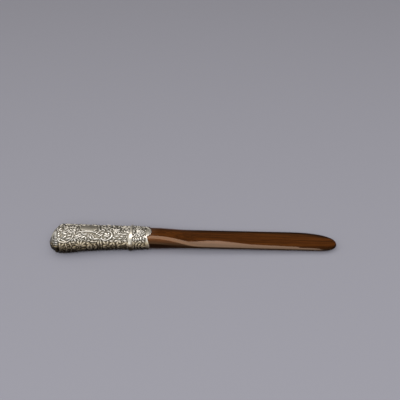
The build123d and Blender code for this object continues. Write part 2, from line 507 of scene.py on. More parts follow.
def near_blows(skin, centres, reach):
    """Numbers of the points of a skin in the box round some blows, and their squared distances to each
    blow."""
    low, high = (centres - reach[:, None]).min(axis=0), (centres + reach[:, None]).max(axis=0)
    near = np.flatnonzero(np.all((skin > low) & (skin < high), axis=1))
    return near, ((skin[near, None, :] - centres[None, :, :]) ** 2).sum(axis=2)


print("drawings can be laid on any surface")


# %% Embossing and strewing
def emboss(skin, blows):
    """Relief over the points of a skin: the upper envelope of blows. A blow of radius r and height h
    lifts a point at a distance d by h times one less the cube of d / r, which is a full back with steep
    sides."""
    height = np.zeros(len(skin))
    for centres, radii, lifts in blows:
        near, square = near_blows(skin, centres, radii)
        lift = (lifts * (1.0 - (square / radii**2) ** 1.5)).max(axis=1, initial=0.0)
        height[near] = np.maximum(height[near], lift)
    return height


def keep_clear(skin, room, blows, reach=2.5):
    """Lowers the room at each point of a skin to its distance from the nearest edge of the blows."""
    for centres, radii, _ in blows:
        near, square = near_blows(skin, centres, radii + reach)
        gap = (np.sqrt(square) - radii).min(axis=1, initial=reach)
        room[near] = np.minimum(room[near], gap)


# More room than any motif needs, and the running wave: its swing and freedom, and the millimetres along the
# surface or degrees round it that carry it on by one radian.
open_room = 9.0
wave_swing, wave_freedom = 70.0, 45.0
wave_along, wave_round = 7.0, 40.0


def strewn(surface, cells, skin, room, kinds, places, angles, groove, chance, fit=0.8):
    """Motifs thrown over a surface, where each one stays only if all its blows find room, with a groove
    between them and what is there already. The leaves follow a running wave, with some freedom."""
    kept = []
    for make, throws in kinds:
        for _ in range(throws):
            place, angle = chance.uniform(*places), chance.uniform(*angles)
            wave = wave_swing * math.sin(place / wave_along + angle / wave_round)
            turn = wave + 180.0 * chance.integers(2) + chance.uniform(-wave_freedom, wave_freedom)
            motif = make(chance)
            blow_places, blow_angles = spread_out(surface, place, angle, turn, motif)
            number, inside = cells(blow_places, blow_angles)
            if inside.all() and np.all(room[number] > fit * motif[:, 2] + groove):
                blows = (surface(blow_places, blow_angles), motif[:, 2], motif[:, 3])
                keep_clear(skin, room, [blows])
                kept.append(blows)
    return kept


print("tools for ornament are ready")

# %% [markdown]
# ## The skin of the handle
# Each half of the handle is a fine grid, with rows at equal steps along the top line and columns round the
# half oval. Rows measured along x would bunch the points at the neck and starve the round butt, so the rows
# follow the length of the top line instead, and the ornament is placed by the same measure.

# %% Grid of one half of the handle
handle_rows, handle_columns = 396, 228
top_x = handle_length * np.linspace(0.0, 1.0, 6001) ** 2
top_steps = np.hypot(np.diff(top_x), np.diff(handle_section(top_x)[2]))
top_run = np.concatenate([[0.0], np.cumsum(top_steps)])


def handle_point(run, angle):
    """Point of the smooth handle at a run along its top line from the butt, and at an angle round it."""
    x = np.interp(run, top_run, top_x)
    return oval(x, *handle_section(x), angle)


def handle_run(x):
    """Run along the top line at a distance x from the butt."""
    return float(np.interp(x, top_x, top_run))


def handle_cells(runs, angles):
    """Numbers of the grid points at some runs and angles, and whether they lie on the half."""
    row = np.rint(runs / top_run[-1] * handle_rows).astype(int) - 1
    column = np.rint(angles / math.pi * handle_columns).astype(int)
    inside = (row >= 0) & (row < handle_rows) & (column >= 0) & (column <= handle_columns)
    return np.where(inside, row * (handle_columns + 1) + column, 0), inside


def outward(grid):
    """Unit normals of a grid, square to its two directions. At the seams they lie in the plane of the
    seam."""
    normal = np.cross(np.gradient(grid, axis=1), np.gradient(grid, axis=0))
    normal[:, [0, -1], 2] = 0.0
    return normal / np.linalg.norm(normal, axis=2, keepdims=True)


row_run = np.linspace(0.0, top_run[-1], handle_rows + 1)[1:, None]
column_angle = np.linspace(0.0, math.pi, handle_columns + 1)[None, :]
handle_skin = handle_point(row_run, column_angle)
handle_normal = outward(handle_skin)
flat_skin = handle_skin.reshape(-1, 3)
print("handle grid:", handle_skin.shape, "top line", round(top_run[-1], 1), "mm")

# %% [markdown]
# ## Foliage of the handle
# The die has a plain shield on its broad face, a large C-scroll beside it, a crescent at the butt with
# leaves in it and a row of tongues round its outside, flutes on the end, and leaves and beads elsewhere.
# What catches the eye is placed one by one, as a chaser draws it on first. The rest is thrown in from large
# to small wherever it finds room, from a fixed seed, so the ground is filled as densely as on the real sheet
# and no two ridges run together.

# %% Motifs placed one by one
relief_depth = 0.75
crest, low_crest = relief_depth, 0.62
shield_place, shield_angle = 45.5, 76.0
shield_half_length, shield_half_height = 11.5, 7.6

placed_motifs = [
    # along x, angle round, turn, drawing
    (22.6, 155.5, -20.0, scroll(27.0, -125.0, -20.0, -35.0, 1.0, crest)),
    (12.4, 127.5, 0.0, bead(1.9, crest)),
    (18.8, 149.8, 28.0, petal(6.0, -25.0, 0.95, crest)),
    (24.3, 140.5, -13.0, petal(5.4, -25.0, 1.0, crest)),
    (25.2, 125.5, -14.0, petal(5.2, -25.0, 1.0, crest)),
    (19.6, 133.5, -40.0, petal(4.6, -20.0, 1.2, crest)),
    (17.6, 108.2, -16.0, petal(5.0, 25.0, 1.0, crest)),
    (22.2, 97.5, 5.0, petal(4.4, 25.0, 0.95, crest)),
    (28.2, 102.0, 0.0, petal(4.6, -25.0, 0.95, crest)),
    (18.6, 73.8, -50.0, spray(5, 6.5, 120.0, 0.9, low_crest)),
    (26.5, 73.5, 20.0, acanthus(9.0, 3, 40.0, 0.95, low_crest)),
    (32.0, 145.5, 60.0, spray(3, 6.0, 110.0, 0.95, crest)),
    (18.2, 167.2, -49.0, petal(5.0, 15.0, 0.85, low_crest)),
    (44.8, 100.5, 0.0, scroll(27.0, -6.0, 75.0, 65.0, 1.05, crest)),
    (44.8, 56.0, 0.0, scroll(27.0, 6.0, -75.0, -65.0, 1.05, crest)),
    (57.4, 109.2, -57.0, petal(5.4, 40.0, 0.9, crest)),
    (37.4, 130.8, -27.0, petal(6.2, -20.0, 1.0, crest)),
    (36.4, 118.8, 0.0, petal(5.0, -20.0, 0.95, crest)),
    (42.6, 118.0, -8.0, petal(5.6, 15.0, 0.9, crest)),
    (51.5, 139.5, 0.0, scroll(8.0, -150.0, -60.0, -60.0, 0.75, crest)),
    (48.2, 150.8, -15.0, petal(3.8, 0.0, 0.8, low_crest)),
    (52.4, 155.5, 5.0, petal(4.2, 0.0, 0.8, low_crest)),
    (56.6, 155.2, -10.0, petal(3.4, 0.0, 0.8, low_crest)),
    (49.0, 126.8, 0.0, rosette(5, 3.4, 0.85, low_crest)),
    (62.2, 141.0, -41.0, petal(4.2, 15.0, 0.9, crest)),
    (61.6, 123.2, -44.0, petal(6.4, 20.0, 0.95, crest)),
    (73.8, 133.6, 112.0, scroll(28.0, 150.0, 60.0, 40.0, 1.2, crest)),
    (69.6, 127.5, -25.0, petal(6.4, -45.0, 0.95, crest)),
    (66.6, 141.5, -30.0, petal(3.4, 0.0, 0.8, low_crest)),
    (63.4, 87.5, 20.0, petal(5.0, 60.0, 0.95, crest)),
    (79.0, 86.0, -25.0, spray(5, 9.0, 130.0, 1.0, crest)),
    (77.8, 137.2, 26.0, petal(4.2, -20.0, 0.95, crest)),
    (81.0, 126.8, 0.0, petal(4.4, -20.0, 0.95, crest)),
    (84.4, 140.0, -5.0, petal(4.0, 20.0, 0.9, crest)),
    (89.4, 114.8, -15.0, petal(7.0, 20.0, 0.9, crest)),
    (87.2, 134.8, 0.0, bead(0.95, low_crest)),
    (89.8, 127.2, 0.0, bead(0.95, low_crest)),
    (92.6, 131.0, 0.0, bead(0.95, low_crest)),
    (91.0, 139.5, 0.0, bead(0.95, low_crest)),
    (72.0, 60.0, -70.0, leafy_scroll(24.0, -150.0, -70.0, -60.0, 5, 3.6, 1.0, 1.0, crest)),
    (24.0, 52.0, 30.0, leafy_scroll(24.0, 150.0, 70.0, 60.0, 5, 3.6, -1.0, 1.0, crest)),
    (88.0, 72.2, 20.0, acanthus(10.0, 3, -40.0, 0.95, low_crest)),
]
placed_blows = [
    carried(handle_point, handle_run(x), angle, turn, drawing) for x, angle, turn, drawing in placed_motifs
]
print(len(placed_blows), "motifs placed by hand")

# %% Flutes and tongues of the butt
flute_run, flute_step = 8.6, 9.0
flute = np.column_stack([
    np.linspace(-2.8, 2.2, 16), np.zeros(16), np.linspace(0.5, 0.75, 16), np.full(16, low_crest),
])
for flute_angle in np.arange(flute_step, 180.0, flute_step):
    placed_blows.append(carried(handle_point, flute_run, flute_angle, 0.0, flute))
tongue = petal(3.8, 0.0, 0.72, crest)
tongue_start, tongue_end, tongue_step = 101.0, 169.0, 8.4
for tongue_angle in np.arange(tongue_start, tongue_end, tongue_step):
    tongue_run = 13.6 + 0.055 * (tongue_angle - 104.0)
    placed_blows.append(carried(handle_point, tongue_run, tongue_angle, 180.0, tongue))
print(len(placed_blows), "with flutes and tongues")

# %% Motifs thrown in between
room = np.full(len(flat_skin), open_room)
keep_clear(flat_skin, room, placed_blows)
shield_run, shield_turn, small_turn = handle_run(shield_place), math.radians(shield_angle), 0.01
shield_scale = np.linalg.norm(
    handle_point(shield_run, shield_turn + small_turn) - handle_point(shield_run, shield_turn - small_turn)
) / (2.0 * small_turn)
shield_edge = np.hypot(
    (row_run - shield_run) / shield_half_length,
    (column_angle - shield_turn) * shield_scale / shield_half_height,
)
room[shield_edge.ravel() < 1.0] = 0.0

kinds = [
    (lambda c: spray(5, c.uniform(8, 9.5), 140.0, 1.2, low_crest), 600),
    (lambda c: spray(3, c.uniform(6, 7.5), 110.0, 1.2, low_crest), 1200),
    (lambda c: petal(c.uniform(5, 6.5), c.uniform(-40, 40), 1.15, low_crest), 1600),
    (lambda c: petal(c.uniform(3.4, 4.4), c.uniform(-30, 30), 1.0, 0.56), 2000),
    (lambda c: bead(c.uniform(0.7, 0.95), 0.5), 2500),
]
chance = np.random.default_rng(11)
thrown_blows = strewn(
    handle_point, handle_cells, flat_skin, room, kinds, (9.5, top_run[-1] - 2.4), (0.0, 180.0), 0.2, chance,
)
print(len(thrown_blows), "motifs thrown in")

# %% [markdown]
# ## Relief of the handle
# The relief sinks from the smooth form, so the crests keep the size of the solid. The shield is a low smooth
# swell without foliage. The attribute for the finish compares each point with its neighbourhood, because
# rubbing reaches whatever stands proud there, and the patina keeps to what lies low. Painted shade comes on
# top of that: the far side, the top and the butt end are made duller, and the narrow sides and the underside
# darker, as they mirror the dim walls and the shadow on the floor.

# %% Painted shade by angle round the opener
# Angles in degrees: where the painted shade of the sides and underside sets in from the top, and where the
# painted shade of the far side ends.
underside_shade_start, underside_shade_end = 52.0, 105.0
far_shade_start, far_shade_end = 72.0, 98.0


def smoothstep(low, high, value):
    """Smooth rise from 0 at low to 1 at high."""
    share = np.clip((value - low) / (high - low), 0.0, 1.0)
    return share * share * (3.0 - 2.0 * share)


def softened(height, passes):
    """Each height averaged with its four neighbours, many times over."""
    for _ in range(passes):
        padded = np.pad(height, 1, mode="edge")
        height = (padded[:-2, 1:-1] + padded[2:, 1:-1] + padded[1:-1, :-2] + padded[1:-1, 2:]) / 4.0
    return height


def polish_of(height, depth):
    """Share of polish, from the height itself and from its lead over its neighbourhood."""
    lead = height - softened(height, 30)
    return np.clip(0.3 + 0.45 * height / depth + 0.6 * lead / depth, 0.0, 1.0)


def underside_shade_at(angle, start=underside_shade_start, end=underside_shade_end):
    """Share of painted shade at an angle round the opener: none on the upper face, all of it under the sides.
    It sets in between two angles from the top, in degrees."""
    from_top = np.abs((angle + math.pi / 2.0) % (2.0 * math.pi) - math.pi)
    return smoothstep(np.radians(start), np.radians(end), from_top)


def unshaded_share_at(angle):
    """Share free of painted shade at an angle round the opener: the near flank stays bright, while the top
    and the far side get painted shade, as they mirror the dim walls behind.
    """
    return smoothstep(math.radians(far_shade_start), math.radians(far_shade_end), angle)


print("tarnish sets in", underside_shade_start, "degrees from the top")

# %% Heights and polish
# Painted shade: the polish is lowered on the far side and the top, and at the butt end.
plain_polish, shaded_top_polish, shaded_butt_polish = 0.45, 0.72, 0.6
handle_height = emboss(flat_skin, placed_blows + thrown_blows).reshape(handle_skin.shape[:2])
shield = 1.0 - smoothstep(0.92, 1.02, shield_edge)
handle_height = np.maximum(handle_height, shield * (0.7 - 0.1 * shield_edge**2))
plain_end = 1.0 - smoothstep(4.2, 5.4, row_run)
handle_height = np.maximum(handle_height, 0.6 * relief_depth * plain_end)
handle_height = softened(handle_height, 1)
handle_polish_and_shade = polish_of(handle_height, relief_depth)
handle_polish_and_shade = mix(handle_polish_and_shade, plain_polish, np.maximum(shield, plain_end))
handle_polish_and_shade = handle_polish_and_shade * mix(shaded_top_polish, 1.0, unshaded_share_at(column_angle))
handle_polish_and_shade = handle_polish_and_shade * mix(shaded_butt_polish, 1.0, smoothstep(9.5, 12.5, row_run))
handle_relief = handle_skin - handle_normal * (relief_depth - handle_height)[..., None]
print("relief from", round(float(handle_height.min()), 2), "to", round(float(handle_height.max()), 2), "mm")

# %% [markdown]
# ## Two stamped halves
# Both halves come from one die, so the lower one is the upper one mirrored in the plane of the seams. Each
# is a closed sheet: the fine outer grid, a coarse inner wall, and a strip along their edges that takes six
# fine steps to one coarse step.

# %% Edges of a half
coarse_step = 6
inner_rows, inner_columns = handle_rows // coarse_step, handle_columns // coarse_step
inner_inset = relief_depth + 0.25


def edge_loop(rows, columns, start):
    """Numbers of the points round the edge of half a handle: neck, far seam, butt pole, near seam."""
    grid = start + np.arange(rows * columns).reshape(rows, columns)
    pole = start + rows * columns
    return np.concatenate([grid[-1, :0:-1], grid[::-1, 0], [pole], grid[:, -1]])[:-1]


def stitched(fine, coarse, ratio):
    """Triangles between two closed edges, where each coarse step faces a number of fine steps."""
    fine_number = np.arange(len(fine))
    coarse_number = (fine_number + ratio // 2) // ratio % len(coarse)
    steps = np.stack([fine, np.roll(fine, -1), coarse[coarse_number]], axis=-1)
    turns = np.arange(len(coarse))
    middle = fine[(turns * ratio + ratio // 2) % len(fine)]
    joins = np.stack([middle, np.roll(coarse, -1), coarse], axis=-1)
    return np.concatenate([steps, joins])


print("inner wall of", inner_rows, "by", inner_columns, "steps")

# %% Build the halves
outer_pole_x, pole_underside_shade = 0.5, 0.9
inner_x = np.interp(np.linspace(0.0, top_run[-1], inner_rows + 1)[1:], top_run, top_x)
inner_x = inner_inset + inner_x * (1.0 - inner_inset / handle_length)
inner_skin = oval(
    inner_x[:, None], *[v[:, None] for v in handle_section(inner_x, inner_inset)],
    np.linspace(0.0, math.pi, inner_columns + 1)[None, :],
)
outer_count = handle_rows * (handle_columns + 1)
inner_start = outer_count + 1
shell_points = np.concatenate([
    handle_relief.reshape(-1, 3), [[outer_pole_x, -butt_apex_offset, 0.0]],
    inner_skin.reshape(-1, 3), [[inner_inset, -butt_apex_offset, 0.0]],
])
inner_pole = len(shell_points) - 1
shell_faces = [
    grid_faces(handle_rows, handle_columns + 1, round_columns=False),
    fan_faces(outer_count, np.arange(handle_columns + 1)),
    grid_faces(inner_rows, inner_columns + 1, round_columns=False, start=inner_start),
    fan_faces(inner_pole, inner_start + np.arange(inner_columns + 1)),
    stitched(
        edge_loop(handle_rows, handle_columns + 1, 0), edge_loop(inner_rows, inner_columns + 1, inner_start),
        coarse_step,
    ),
]
inner_zeros = np.zeros(inner_skin.shape[0] * inner_skin.shape[1] + 1)
shell_polish_and_shade = np.concatenate([handle_polish_and_shade.ravel(), [plain_polish], inner_zeros])


def set_layer(piece, name, values):
    """Stores a value for each point as an attribute that the finish reads."""
    layer = piece.data.attributes.new(name, "FLOAT", "POINT")
    layer.data.foreach_set("value", values.astype(np.float32).ravel())


# The tongues at the butt get their painted shade only further round, so they stay bright.
bright_tongues = smoothstep(11.0, 13.0, row_run) - smoothstep(18.5, 23.0, row_run)
tongue_shade_start, tongue_shade_end = 74.0, 90.0
handle_shade_start = mix(underside_shade_start, tongue_shade_start, bright_tongues)
handle_shade_end = mix(underside_shade_end, tongue_shade_end, bright_tongues)
for piece_name, node_name, side in (
    ("handle_upper_half", "handle_upper_shell", 1.0), ("handle_lower_half", "handle_lower_shell", -1.0),
):
    half_points = shell_points * [1.0, 1.0, side]
    half = make_piece(piece_name, half_points, shell_faces, embossed_silver, node_name)
    # Painted shade on the sides and underside of each half.
    handle_underside_shade = underside_shade_at(side * column_angle, handle_shade_start, handle_shade_end)
    set_layer(half, "polish", shell_polish_and_shade)
    set_layer(half, "underside_shade", np.concatenate([handle_underside_shade.ravel(), [pole_underside_shade], inner_zeros]))

# %% [markdown]
# ## Neck ring
# A half-round wire is bent to the oval of the neck and soldered over the joint. Its section is carried
# round the oval: a low flat foot and a round back.

# %% Build the ring
ring_columns = 288
ring_shade_start, ring_shade_end = 74.0, 92.0
ring_angle = np.linspace(0.0, 2.0 * math.pi, ring_columns, endpoint=False)[None, :]
ring_across = np.cos(np.linspace(0.0, math.pi, 25))
ring_height = mix(ring_edge_height, ring_rise, np.sqrt(np.maximum(1.0 - ring_across**2, 0.0)))
ring_profile_x = handle_length + ring_width / 2.0 * np.concatenate([ring_across, [-1.0, 1.0]])
ring_profile_height = np.concatenate([ring_height, [-0.5, -0.5]])
ring_grid = oval(
    ring_profile_x[:, None], 0.0, neck_half_width + ring_profile_height[:, None],
    neck_half_thickness + ring_profile_height[:, None], ring_angle,
)
ring = make_piece(
    "neck_band", ring_grid.reshape(-1, 3), [grid_faces(len(ring_profile_x), ring_columns, round_rows=True)],
    plain_silver, "neck_ring",
)
# Painted shade on the sides and underside of the ring.
ring_underside_shade = underside_shade_at(ring_angle, ring_shade_start, ring_shade_end)
set_layer(ring, "underside_shade", np.broadcast_to(ring_underside_shade, ring_grid.shape[:2]))

# %% [markdown]
# ## Lobed collar
# The collar is a sleeve of the same embossed sheet. Its front edge has four lobes, two broad and two
# narrow, with a plain raised rim that widens where two lobes meet. Columns that all end on the lobed edge
# keep the rim crisp, so the grid is stretched along x from the joint to the edge.

# %% Lobed edge
collar_rows, collar_columns = 90, 432
collar_depth, collar_proud, collar_wall = 0.62, 0.2, 0.62
collar_angle = np.linspace(0.0, 2.0 * math.pi, collar_columns, endpoint=False)


def collar_point(x, angle):
    """Point of the smooth collar, an oval that tapers evenly from the joint."""
    share = (x - handle_length) / (collar_tip - handle_length)
    half_width = mix(neck_half_width, collar_end_half_width, share)
    half_thickness = mix(neck_half_thickness, collar_end_half_thickness, share)
    return oval(x, 0.0, half_width, half_thickness, angle)


def lobe_arc(across, half_span, tip):
    """Edge of a lobe: a circular arc from notch to notch through the tip."""
    depth = tip - notch_place
    radius = (half_span**2 + depth**2) / (2.0 * depth)
    return tip - radius + np.sqrt(np.maximum(radius**2 - across**2, 0.0))


def collar_edge_at(angle):
    """Place along x of the lobed edge at an angle round the collar: broad lobes between the notches of a
    face, and narrow ones at the sides."""
    _, edge_y, edge_z = np.moveaxis(collar_point(notch_place, angle), -1, 0)
    _, face_span, side_span = collar_point(notch_place, notch_angle)
    broad, narrow = lobe_arc(edge_y, face_span, collar_tip), lobe_arc(edge_z, side_span, side_lobe_tip)
    return np.where(np.abs(edge_y) < face_span, broad, narrow)


def collar_cells(places, angles):
    """Numbers of the grid points at some places and angles, and whether they lie on the collar."""
    share = (places - handle_length) / (collar_edge_at(angles) - handle_length)
    row = np.rint(share * (collar_rows - 1)).astype(int)
    column = np.rint(angles / (2.0 * math.pi) * collar_columns).astype(int) % collar_columns
    inside = (row >= 0) & (row < collar_rows)
    return np.where(inside, row * collar_columns + column, 0), inside


collar_edge = collar_edge_at(collar_angle)
collar_share = np.linspace(0.0, 1.0, collar_rows)[:, None]
collar_x = mix(handle_length, collar_edge[None, :], collar_share)
collar_skin = collar_point(collar_x, collar_angle[None, :])
flat_collar = collar_skin.reshape(-1, 3)
from_edge = collar_edge[None, :] - collar_x
print("collar edge from", round(collar_edge.min(), 1), "to", round(collar_edge.max(), 1))

# %% Foliage of the collar
collar_motifs = []
for face_angle in (90.0, 270.0):
    collar_motifs.append((106.0, face_angle, 0.0, spray(5, 8.0, 110.0, 0.9, collar_depth)))
    for side in (-1.0, 1.0):
        curl = leafy_scroll(13.0, side * 160.0, side * 80.0, side * 60.0, 3, 3.0, -side, 0.9, collar_depth)
        collar_motifs.append((105.5, face_angle + side * 22.0, side * 20.0, curl))
        for drop_x, drop_angle in ((100.8, 53.0), (103.6, 53.0), (106.2, 51.0), (109.0, 49.0)):
            drop = petal(3.4, 0.0, 1.05, collar_depth)
            collar_motifs.append((drop_x, face_angle + side * drop_angle, side * 70.0, drop))
for side_angle in (0.0, 180.0):
    collar_motifs.append((109.0, side_angle, 0.0, acanthus(12.0, 3, 0.0, 0.9, collar_depth)))
collar_blows = [
    carried(collar_point, x, angle, turn, drawing) for x, angle, turn, drawing in collar_motifs
]
rim_room = 2.6
collar_room = np.full(len(flat_collar), open_room)
keep_clear(flat_collar, collar_room, collar_blows)
collar_room[(from_edge < rim_room).ravel()] = 0.0
plain_tip = smoothstep(114.0, 116.0, collar_x)
collar_room[(plain_tip > 0.0).ravel()] = 0.0
collar_kinds = [
    (lambda c: spray(5, c.uniform(5, 6), 130.0, 0.8, 0.6), 500),
    (lambda c: acanthus(c.uniform(5.5, 7), 2, c.uniform(-60, 60), 0.8, 0.6), 600),
    (lambda c: petal(c.uniform(3.4, 4.6), c.uniform(-40, 40), 0.8, 0.6), 1200),
    (lambda c: petal(c.uniform(2.4, 3.0), c.uniform(-30, 30), 0.7, 0.55), 1200),
    (lambda c: bead(c.uniform(0.55, 0.8), 0.55), 1500),
]
collar_blows += strewn(
    collar_point, collar_cells, flat_collar, collar_room, collar_kinds, (99.0, 119.0), (0.0, 360.0), 0.1,
    chance,
)
print(len(collar_blows), "motifs on the collar")

# %% Relief of the collar
rim_height, rim_middle, rim_half_width = 0.8, 0.85, 1.0
notch_spread, rim_polish, tip_polish, shaded_far_polish = 6.0, 0.9, 0.6, 0.66
collar_shape = collar_skin.shape[:2]
collar_height = emboss(flat_collar, collar_blows).reshape(collar_shape)
collar_height = np.maximum(collar_height, 0.3 * plain_tip)
notch_turns = (np.degrees(collar_angle) + 90.0) % 180.0 - 90.0
at_notch = np.exp(-((np.abs(notch_turns) - math.degrees(notch_angle)) / notch_spread) ** 2)[None, :]
widening = 0.8 * at_notch
rim_share = np.abs((from_edge - rim_middle - widening) / (rim_half_width + widening))
collar_height = np.maximum(collar_height, rim_height * np.clip(1.0 - rim_share**3, 0.0, 1.0))
collar_height = np.maximum(collar_height, 0.5 * (1.0 - smoothstep(98.9, 99.4, collar_x)))
collar_polish_and_shade = polish_of(collar_height, collar_depth)
collar_polish_and_shade = np.maximum(collar_polish_and_shade, np.where(from_edge < 1.8 + 1.4 * at_notch, rim_polish, 0.0))
collar_polish_and_shade = np.maximum(collar_polish_and_shade, tip_polish * plain_tip)
# Painted shade: the polish of the collar is lowered on its far side.
from_far_side = np.minimum(collar_angle, 2.0 * math.pi - collar_angle)
collar_polish_and_shade = collar_polish_and_shade * mix(shaded_far_polish, 1.0, unshaded_share_at(from_far_side))
round_step = np.roll(collar_skin, -1, axis=1) - np.roll(collar_skin, 1, axis=1)
collar_normal = np.stack([np.zeros(collar_shape), round_step[..., 2], -round_step[..., 1]], axis=-1)
collar_normal /= np.linalg.norm(collar_normal, axis=2, keepdims=True)
collar_outer = collar_skin + collar_normal * (collar_height - collar_depth + collar_proud)[..., None]
print("collar relief up to", round(float(collar_height.max()), 2), "mm")

# %% Build the collar
inner_polish = 0.3
wall_share = np.linspace(1.0, 0.0, 5)[:, None]
wall_x = mix(handle_length, collar_edge[None, :], wall_share)
collar_inner = collar_point(wall_x, collar_angle[None, :]) - collar_normal[:1] * collar_wall
collar_grid = np.concatenate([collar_outer, collar_inner])
collar = make_piece(
    "lobed_collar", collar_grid.reshape(-1, 3),
    [grid_faces(len(collar_grid), collar_columns, round_rows=True)],
    embossed_silver, "collar",
)
set_layer(collar, "polish", np.concatenate([collar_polish_and_shade, np.full(collar_inner.shape[:2], inner_polish)]))
# Painted shade on the sides and underside of the collar.
set_layer(collar, "underside_shade", np.broadcast_to(underside_shade_at(collar_angle), collar_grid.shape[:2]))

# %% [markdown]
# ## Dark polished wood
# The blade is a close-grained tropical hardwood under French polish, shellac rubbed on in many thin coats.
# The wood is a deep red-brown with darker streaks that run its whole length and short fine pores. The polish
# makes it smooth enough to mirror the lamps. Along the edges an attribute of the blade makes the wood darker
# and duller: painted shade, where the rounded edges turn away from the light.

# %% Wood finish
# It gives the eye a warm dark brown with faint lengthwise streaks under a smooth gloss. Real pores are finer:
# these are drawn wide enough to show.
streak_width, pore_width, grain_shrink = 5.0, 0.9, 0.018
polished_wood, tree = new_finish("french_polished_hardwood")
place = add_node(tree, "TexCoord").outputs["Object"]
drawn = add_node(tree, "Mapping", {"Scale": (grain_shrink, 1.0, 1.0), "Vector": place}).outputs["Vector"]
streak = add_node(tree, "TexNoise", {
    "Scale": 1000 / streak_width, "Detail": 5.0, "Roughness": 0.6, "Distortion": 0.35, "Vector": drawn,
})
pore = add_node(tree, "TexNoise", {"Scale": 1000 / pore_width, "Detail": 2.0, "Vector": drawn})
tone = add_node(tree, "ValToRGB", {"Fac": streak.outputs["Fac"]})
set_stops(tone, [(0.25, "#361D09"), (0.5, "#532C0F"), (0.75, "#6C3D16")])
pore_tone = add_node(tree, "ValToRGB", {"Fac": pore.outputs["Fac"]})
set_stops(pore_tone, [(0.36, "#B3B3B3"), (0.5, "#FFFFFF")])
brown = add_node(
    tree, "Mix", {0: 0.8, 6: tone.outputs["Color"], 7: pore_tone.outputs["Color"]},
    data_type="RGBA", blend_type="MULTIPLY",
)
dent = add_node(tree, "Bump", {"Strength": 0.05, "Distance": 0.0001, "Height": streak.outputs["Fac"]})
# The edge attribute carries painted shade: towards both edges the brown is darkened and the gloss is dulled.
edge = add_node(tree, "Attribute", attribute_name="edge").outputs["Fac"]
edge_shade_share = add_node(
    tree, "MapRange", {"Value": edge, "From Min": 0.4, "From Max": 0.97}, interpolation_type="SMOOTHSTEP",
)
edge_shaded_brown = add_node(
    tree, "Mix", {0: edge_shade_share.outputs["Result"], 6: brown.outputs[2], 7: linear("#504C49")},
    data_type="RGBA", blend_type="MULTIPLY",
)
shine = add_node(
    tree, "MapRange", {"Value": edge, "From Min": 0.84, "From Max": 0.96, "To Min": 0.5, "To Max": 0.12},
    interpolation_type="SMOOTHSTEP",
)
wood = add_node(tree, "BsdfPrincipled", {
    "Roughness": 0.06, "IOR": 1.62, "Specular Tint": linear("#FFCDA2"), "Base Color": edge_shaded_brown.outputs[2],
    "Specular IOR Level": shine.outputs["Result"], "Normal": dent.outputs["Normal"],
})
add_node(tree, "OutputMaterial", {"Surface": wood.outputs["BSDF"]})
print(polished_wood.name, "has", len(tree.nodes), "nodes")

# %% [markdown]
# ## Blade
# One piece of wood has the tang, the shoulder in the collar and the blade. All of it is ovals along x, so
# one grid runs from the end of the tang to the tip, with two rows at each step in size. The tip closes by
# quarter ellipses of different lengths on its two edges, which sets it off towards the near side.


# %% Sections of the blade
def shoulder_blend(x):
    """Share of the way from the shoulder to the flat blade, along a half wave of a cosine."""
    return 0.5 - 0.5 * np.cos(math.pi * np.clip((x - collar_tip) / shoulder_fade_length, 0.0, 1.0))


def blade_section(x):
    """Centre, half-width and half-thickness of the blade at x: an oval shoulder fades by a cosine into
    the flat blade, and quarter ellipses round the tip."""
    fade = np.clip((x - collar_tip) / shoulder_fade_length, 0.0, 1.0)
    blend = shoulder_blend(x)
    half_width = mix(collar_end_half_width - wood_inset, blade_half_width, blend)
    flat = mix(blade_half_thickness, tip_half_thickness, (x - collar_tip) / (blade_tip - collar_tip))
    half_thickness = mix(collar_end_half_thickness - wood_inset, flat, blend)
    half_thickness = half_thickness + shoulder_bulge * np.sin(math.pi * fade)
    left = blade_tip - x
    far = mix(-tip_apex_offset, half_width, rounded(left / tip_far_rounding, tip_power))
    near = mix(tip_apex_offset, half_width, rounded(left / tip_near_rounding, tip_power))
    return (far - near) / 2.0, (far + near) / 2.0, half_thickness * rounded(left / tip_face_rounding)


print("blade", round(2.0 * float(blade_section(200.0)[1]), 1), "mm wide")

# %% Build the blade
blade_columns, tip_pole_inset = 144, 0.02
tang_x = np.linspace(handle_length - tang_length, handle_length, 9)
tang_share = np.linspace(0.0, 1.0, 9)
hidden_x = np.linspace(handle_length, collar_tip, 13)[:-1]
hidden_share = (hidden_x - handle_length) / (collar_tip - handle_length)
shown_x = np.concatenate([
    np.linspace(collar_tip, blade_tip - tip_far_rounding, 241),
    blade_tip - tip_far_rounding * (1.0 - np.sin(np.linspace(0.0, math.pi / 2.0, 81)[1:-1])),
])
shown_centre, shown_width, shown_thickness = blade_section(shown_x)
blade_x = np.concatenate([tang_x, hidden_x, shown_x])
blade_centre = np.concatenate([np.zeros(len(tang_x) + len(hidden_x)), shown_centre])
blade_width = np.concatenate([
    mix(tang_end[0], tang_root[0], tang_share),
    mix(neck_half_width, collar_end_half_width, hidden_share) - wood_inset, shown_width,
])
blade_thickness = np.concatenate([
    mix(tang_end[1], tang_root[1], tang_share),
    mix(neck_half_thickness, collar_end_half_thickness, hidden_share) - wood_inset, shown_thickness,
])
blade_fullness = np.concatenate([
    np.full(len(tang_x), wood_fullness), np.full(len(hidden_x), silver_fullness),
    mix(silver_fullness, wood_fullness, shoulder_blend(shown_x)),
])
blade_angle = np.linspace(0.0, 2.0 * math.pi, blade_columns, endpoint=False)[None, :]
blade_grid = oval(
    blade_x[:, None], blade_centre[:, None], blade_width[:, None], blade_thickness[:, None], blade_angle,
    blade_fullness[:, None],
)
blade_points, blade_faces = capped(
    blade_grid, [tang_x[0], 0.0, 0.0], [blade_tip - tip_pole_inset, -tip_apex_offset, 0.0],
)
